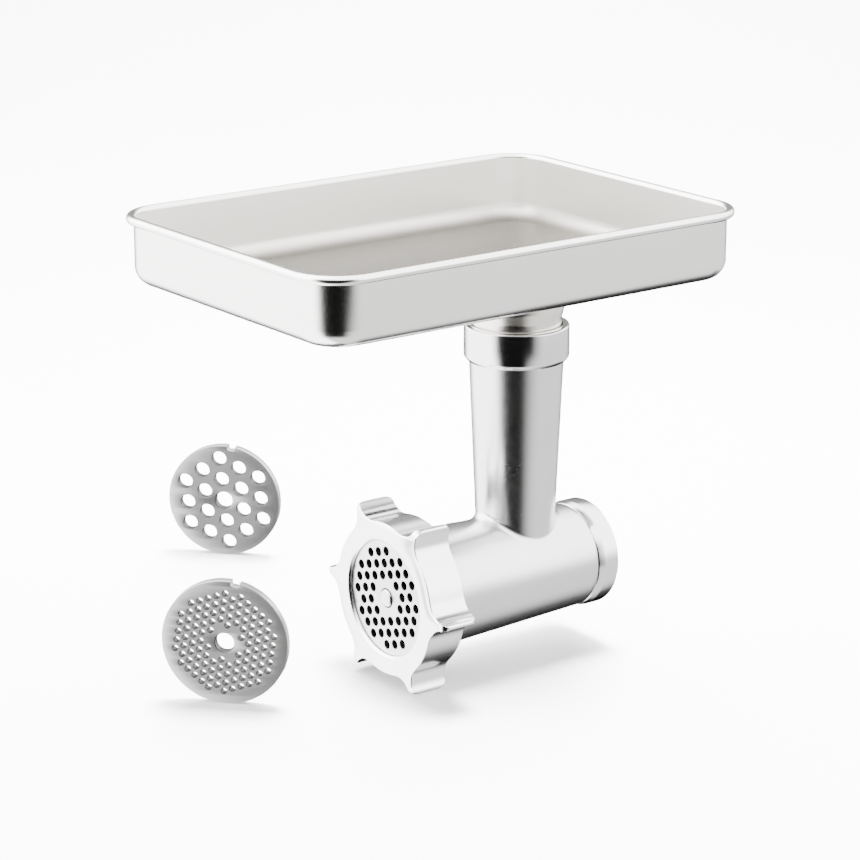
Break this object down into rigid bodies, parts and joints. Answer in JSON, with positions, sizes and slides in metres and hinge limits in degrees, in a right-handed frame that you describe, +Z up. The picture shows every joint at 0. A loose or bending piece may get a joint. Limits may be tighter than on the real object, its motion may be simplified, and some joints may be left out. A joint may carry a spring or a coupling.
{
  "type": "meat grinder head",
  "caption": "All-metal meat grinder head for a stand mixer's power hub: feed tray on a feed tube, worm, knife and plate behind a threaded ring nut, with two spare plates standing beside it.",
  "frame": {"origin": "centre of the rear face of the hub collar, on the barrel's axis, where the mixer's hub holds the head", "axes": "+Y along the barrel's axis towards the mixer, so the ring nut faces -Y; +Z up along the feed tube; +X to the right of someone who faces the ring nut"},
  "size_m": [0.3269, 0.25, 0.2321],
  "materials": {
    "cast_metal": "polished casting",
    "turned_metal": "polished, turned",
    "ring_metal": "polished casting",
    "sheet_metal": "satin stainless sheet",
    "plate_steel": "ground stainless",
    "tool_steel": "ground steel",
    "bearing_bronze": "machined bronze",
    "seal_rubber": "matt",
    "washer_nylon": "matt"
  },
  "bodies": {
    "head": {"housing": "cast_metal", "feed_collar": "turned_metal", "hub_collar": "turned_metal", "hub_pin_left": "tool_steel", "hub_pin_right": "tool_steel", "rear_bush": "bearing_bronze", "shaft_seal": "seal_rubber", "thrust_washer": "washer_nylon", "plate_key": "tool_steel"},
    "worm": {"auger": "cast_metal", "front_stud": "tool_steel", "knife": "tool_steel", "drive_shaft": "tool_steel", "drive_pin": "tool_steel"},
    "cutting_plate": {"cutting_plate": "plate_steel"},
    "ring_nut": {"ring_nut": "ring_metal"},
    "tray": {"tray_pan": "sheet_metal", "tray_spout": "sheet_metal"},
    "coarse_plate": {"coarse_plate": "plate_steel"},
    "fine_plate": {"fine_plate": "plate_steel"}
  },
  "joints": [
    {"name": "worm_turn", "type": "hinge", "parent": "head", "child": "worm", "pos_m": [0, -0.06, 0], "axis": [0, 1, 0], "continuous": true},
    {"name": "plate_draw", "type": "slide", "parent": "head", "child": "cutting_plate", "axis": [0, -1, 0], "range_m": [0, 0.009]},
    {"name": "ring_turn", "type": "hinge", "parent": "cutting_plate", "child": "ring_nut", "pos_m": [0, -0.1157, 0], "axis": [0, -1, 0], "range_deg": [0, 1080]},
    {"name": "tray_lift", "type": "slide", "parent": "head", "child": "tray", "axis": [0, 0, 1], "range_m": [0, 0.06]},
    {"name": "coarse_plate_lift", "type": "slide", "parent": "head", "child": "coarse_plate", "axis": [0, 0, 1], "range_m": [0, 0.06]},
    {"name": "fine_plate_lift", "type": "slide", "parent": "head", "child": "fine_plate", "axis": [0, 0, 1], "range_m": [0, 0.06]}
  ],
  "couplings": [
    {"joint": "plate_draw", "follows": "ring_turn", "m_per_rad": 0.00047746}
  ]
}
